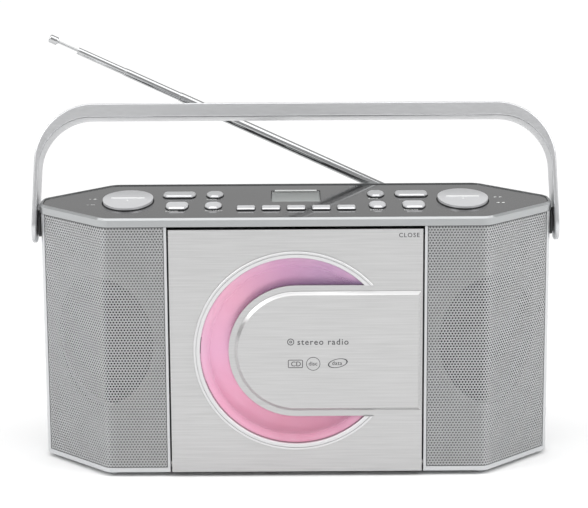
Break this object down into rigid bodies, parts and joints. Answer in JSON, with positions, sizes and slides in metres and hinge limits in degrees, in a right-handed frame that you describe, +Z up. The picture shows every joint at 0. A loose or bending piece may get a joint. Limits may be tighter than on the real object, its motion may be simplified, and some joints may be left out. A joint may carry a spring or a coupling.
{
  "type": "portable disc radio",
  "caption": "Portable radio with a drop-down disc door, angled perforated speaker grilles, top controls, a swinging handle and a telescopic antenna.",
  "frame": {"origin": "middle of the overall footprint, on the surface the feet stand on", "axes": "+Z up, front towards -Y, +X to the right when seen from the front"},
  "size_m": [0.351, 0.121, 0.2782],
  "materials": {
    "cabinet_silver": "silver-painted moulding, satin",
    "rim_silver": "silver-painted moulding, semi-gloss",
    "panel_gloss": "black high gloss",
    "key_silver": "silver-painted moulding, satin",
    "display_clear": "clear display lens",
    "display_body": "matte",
    "grille_metal": "perforated sheet, satin",
    "speaker_steel": "black basket and magnet",
    "cone_paper": "pressed paper cone",
    "door_brushed": "brushed metal-look facing",
    "window_clear": "clear",
    "disc_foil": "mirrored disc, rosy",
    "mechanism_black": "fine texture",
    "motor_steel": "plated",
    "gear_white": "moulded",
    "board_green": "circuit board",
    "transformer_iron": "laminated core",
    "foot_rubber": "matt",
    "handle_satin": "satin brushed metal look",
    "antenna_chrome": "polished"
  },
  "bodies": {
    "cabinet": {"front_cabinet": "cabinet_silver", "rear_cabinet": "cabinet_silver", "top_rim": "rim_silver", "control_panel": "panel_gloss", "display_lens": "display_clear", "display_module": "display_body", "key_board": "board_green", "speaker_grille_left": "grille_metal", "speaker_grille_right": "grille_metal", "speaker_frame_left": "speaker_steel", "speaker_frame_right": "speaker_steel", "disc_chassis": "mechanism_black", "spindle_motor": "motor_steel", "sled_motor": "motor_steel", "guide_rod_lower": "motor_steel", "guide_rod_upper": "motor_steel", "door_latch": "mechanism_black", "main_board": "board_green", "transformer": "transformer_iron", "mains_socket": "mechanism_black", "headphone_jack": "mechanism_black", "foot_front_left": "foot_rubber", "foot_front_right": "foot_rubber", "foot_rear_left": "foot_rubber", "foot_rear_right": "foot_rubber"},
    "door": {"disc_door": "door_brushed", "door_window": "window_clear", "window_ring": "rim_silver", "door_plate": "door_brushed"},
    "disc": {"turntable": "mechanism_black", "compact_disc": "disc_foil"},
    "sled": {"pickup_sled": "mechanism_black"},
    "sled_gear": {"sled_gear": "gear_white"},
    "handle": {"handle": "handle_satin", "handle_hub_left": "mechanism_black", "handle_hub_right": "mechanism_black"},
    "battery_cover": {"battery_cover": "cabinet_silver"},
    "speaker_cone_left": {"speaker_cone_left": "cone_paper"},
    "speaker_cone_right": {"speaker_cone_right": "cone_paper"},
    "volume_rocker": {"volume_rocker": "key_silver"},
    "tuning_rocker": {"tuning_rocker": "key_silver"},
    "wide_button_back_left": {"wide_button_back_left": "key_silver"},
    "wide_button_front_left": {"wide_button_front_left": "key_silver"},
    "small_button_back_left": {"small_button_back_left": "key_silver"},
    "small_button_front_left": {"small_button_front_left": "key_silver"},
    "wide_button_back_right": {"wide_button_back_right": "key_silver"},
    "wide_button_front_right": {"wide_button_front_right": "key_silver"},
    "small_button_back_right": {"small_button_back_right": "key_silver"},
    "small_button_front_right": {"small_button_front_right": "key_silver"},
    "bar_button_1": {"bar_button_1": "key_silver"},
    "bar_button_2": {"bar_button_2": "key_silver"},
    "bar_button_3": {"bar_button_3": "key_silver"},
    "bar_button_4": {"bar_button_4": "key_silver"},
    "bar_button_5": {"bar_button_5": "key_silver"},
    "antenna_swivel": {"antenna_swivel": "antenna_chrome"},
    "antenna_base": {"antenna_base": "antenna_chrome"},
    "antenna_tube_2": {"antenna_tube_2": "antenna_chrome"},
    "antenna_tube_3": {"antenna_tube_3": "antenna_chrome"},
    "antenna_tube_4": {"antenna_tube_4": "antenna_chrome"},
    "antenna_rod": {"antenna_rod": "antenna_chrome"}
  },
  "joints": [
    {"name": "door_hinge", "type": "hinge", "parent": "cabinet", "child": "door", "pos_m": [0, -0.0525, 0.0083], "axis": [1, 0, 0], "range_deg": [0, 38]},
    {"name": "handle_hinge", "type": "hinge", "parent": "cabinet", "child": "handle", "pos_m": [0, -0.0026, 0.1598], "axis": [-1, 0, 0], "range_deg": [-106.5, 17]},
    {"name": "disc_spin", "type": "hinge", "parent": "cabinet", "child": "disc", "pos_m": [0, -0.0457, 0.0856], "axis": [0, 1, 0], "continuous": true},
    {"name": "sled_slide", "type": "slide", "parent": "cabinet", "child": "sled", "axis": [-1, 0, 0], "range_m": [0, 0.036]},
    {"name": "sled_gear_spin", "type": "hinge", "parent": "cabinet", "child": "sled_gear", "pos_m": [-0.02, -0.035, 0.1142], "axis": [0, 1, 0], "range_deg": [0, 345]},
    {"name": "battery_cover_hinge", "type": "hinge", "parent": "cabinet", "child": "battery_cover", "pos_m": [0, 0.05065, 0.01105], "axis": [-1, 0, 0], "range_deg": [0, 70]},
    {"name": "cone_left_travel", "type": "slide", "parent": "cabinet", "child": "speaker_cone_left", "axis": [-0.3827, -0.9239, 0], "range_m": [-0.001, 0.001], "stiffness_N_per_m": 1500},
    {"name": "cone_right_travel", "type": "slide", "parent": "cabinet", "child": "speaker_cone_right", "axis": [0.3827, -0.9239, 0], "range_m": [-0.001, 0.001], "stiffness_N_per_m": 1500},
    {"name": "volume_rocker_tilt", "type": "hinge", "parent": "cabinet", "child": "volume_rocker", "pos_m": [-0.1115, -0.0026, 0.17], "axis": [1, 0, 0], "range_deg": [-2.5, 2.5], "stiffness_Nm_per_rad": 1.5},
    {"name": "tuning_rocker_tilt", "type": "hinge", "parent": "cabinet", "child": "tuning_rocker", "pos_m": [0.1115, -0.0026, 0.17], "axis": [1, 0, 0], "range_deg": [-2.5, 2.5], "stiffness_Nm_per_rad": 1.5},
    {"name": "wide_button_back_left_press", "type": "slide", "parent": "cabinet", "child": "wide_button_back_left", "axis": [0, 0, 1], "range_m": [-0.001, 0], "stiffness_N_per_m": 1500},
    {"name": "wide_button_front_left_press", "type": "slide", "parent": "cabinet", "child": "wide_button_front_left", "axis": [0, 0, 1], "range_m": [-0.001, 0], "stiffness_N_per_m": 1500},
    {"name": "small_button_back_left_press", "type": "slide", "parent": "cabinet", "child": "small_button_back_left", "axis": [0, 0, 1], "range_m": [-0.001, 0], "stiffness_N_per_m": 1500},
    {"name": "small_button_front_left_press", "type": "slide", "parent": "cabinet", "child": "small_button_front_left", "axis": [0, 0, 1], "range_m": [-0.001, 0], "stiffness_N_per_m": 1500},
    {"name": "wide_button_back_right_press", "type": "slide", "parent": "cabinet", "child": "wide_button_back_right", "axis": [0, 0, 1], "range_m": [-0.001, 0], "stiffness_N_per_m": 1500},
    {"name": "wide_button_front_right_press", "type": "slide", "parent": "cabinet", "child": "wide_button_front_right", "axis": [0, 0, 1], "range_m": [-0.001, 0], "stiffness_N_per_m": 1500},
    {"name": "small_button_back_right_press", "type": "slide", "parent": "cabinet", "child": "small_button_back_right", "axis": [0, 0, 1], "range_m": [-0.001, 0], "stiffness_N_per_m": 1500},
    {"name": "small_button_front_right_press", "type": "slide", "parent": "cabinet", "child": "small_button_front_right", "axis": [0, 0, 1], "range_m": [-0.001, 0], "stiffness_N_per_m": 1500},
    {"name": "bar_button_1_press", "type": "slide", "parent": "cabinet", "child": "bar_button_1", "axis": [0, 0, 1], "range_m": [-0.001, 0], "stiffness_N_per_m": 1500},
    {"name": "bar_button_2_press", "type": "slide", "parent": "cabinet", "child": "bar_button_2", "axis": [0, 0, 1], "range_m": [-0.001, 0], "stiffness_N_per_m": 1500},
    {"name": "bar_button_3_press", "type": "slide", "parent": "cabinet", "child": "bar_button_3", "axis": [0, 0, 1], "range_m": [-0.001, 0], "stiffness_N_per_m": 1500},
    {"name": "bar_button_4_press", "type": "slide", "parent": "cabinet", "child": "bar_button_4", "axis": [0, 0, 1], "range_m": [-0.001, 0], "stiffness_N_per_m": 1500},
    {"name": "bar_button_5_press", "type": "slide", "parent": "cabinet", "child": "bar_button_5", "axis": [0, 0, 1], "range_m": [-0.001, 0], "stiffness_N_per_m": 1500},
    {"name": "antenna_turn", "type": "hinge", "parent": "cabinet", "child": "antenna_swivel", "pos_m": [0.078, 0.05, 0.1622], "axis": [0, 1, 0], "range_deg": [-24.9, 155.1]},
    {"name": "antenna_tilt", "type": "hinge", "parent": "antenna_swivel", "child": "antenna_base", "pos_m": [0.078, 0.057, 0.1622], "axis": [-0.421, 0, -0.907], "range_deg": [0, 90]},
    {"name": "antenna_slide_2", "type": "slide", "parent": "antenna_base", "child": "antenna_tube_2", "axis": [-0.907, 0, 0.421], "range_m": [-0.024, 0.098]},
    {"name": "antenna_slide_3", "type": "slide", "parent": "antenna_tube_2", "child": "antenna_tube_3", "axis": [-0.907, 0, 0.421], "range_m": [-0.039, 0.079]},
    {"name": "antenna_slide_4", "type": "slide", "parent": "antenna_tube_3", "child": "antenna_tube_4", "axis": [-0.907, 0, 0.421], "range_m": [-0.033, 0.081]},
    {"name": "antenna_slide_rod", "type": "slide", "parent": "antenna_tube_4", "child": "antenna_rod", "axis": [-0.907, 0, 0.421], "range_m": [-0.013, 0.097]}
  ],
  "couplings": [
    {"joint": "sled_gear_spin", "follows": "sled_slide", "rad_per_m": 166.67}
  ]
}
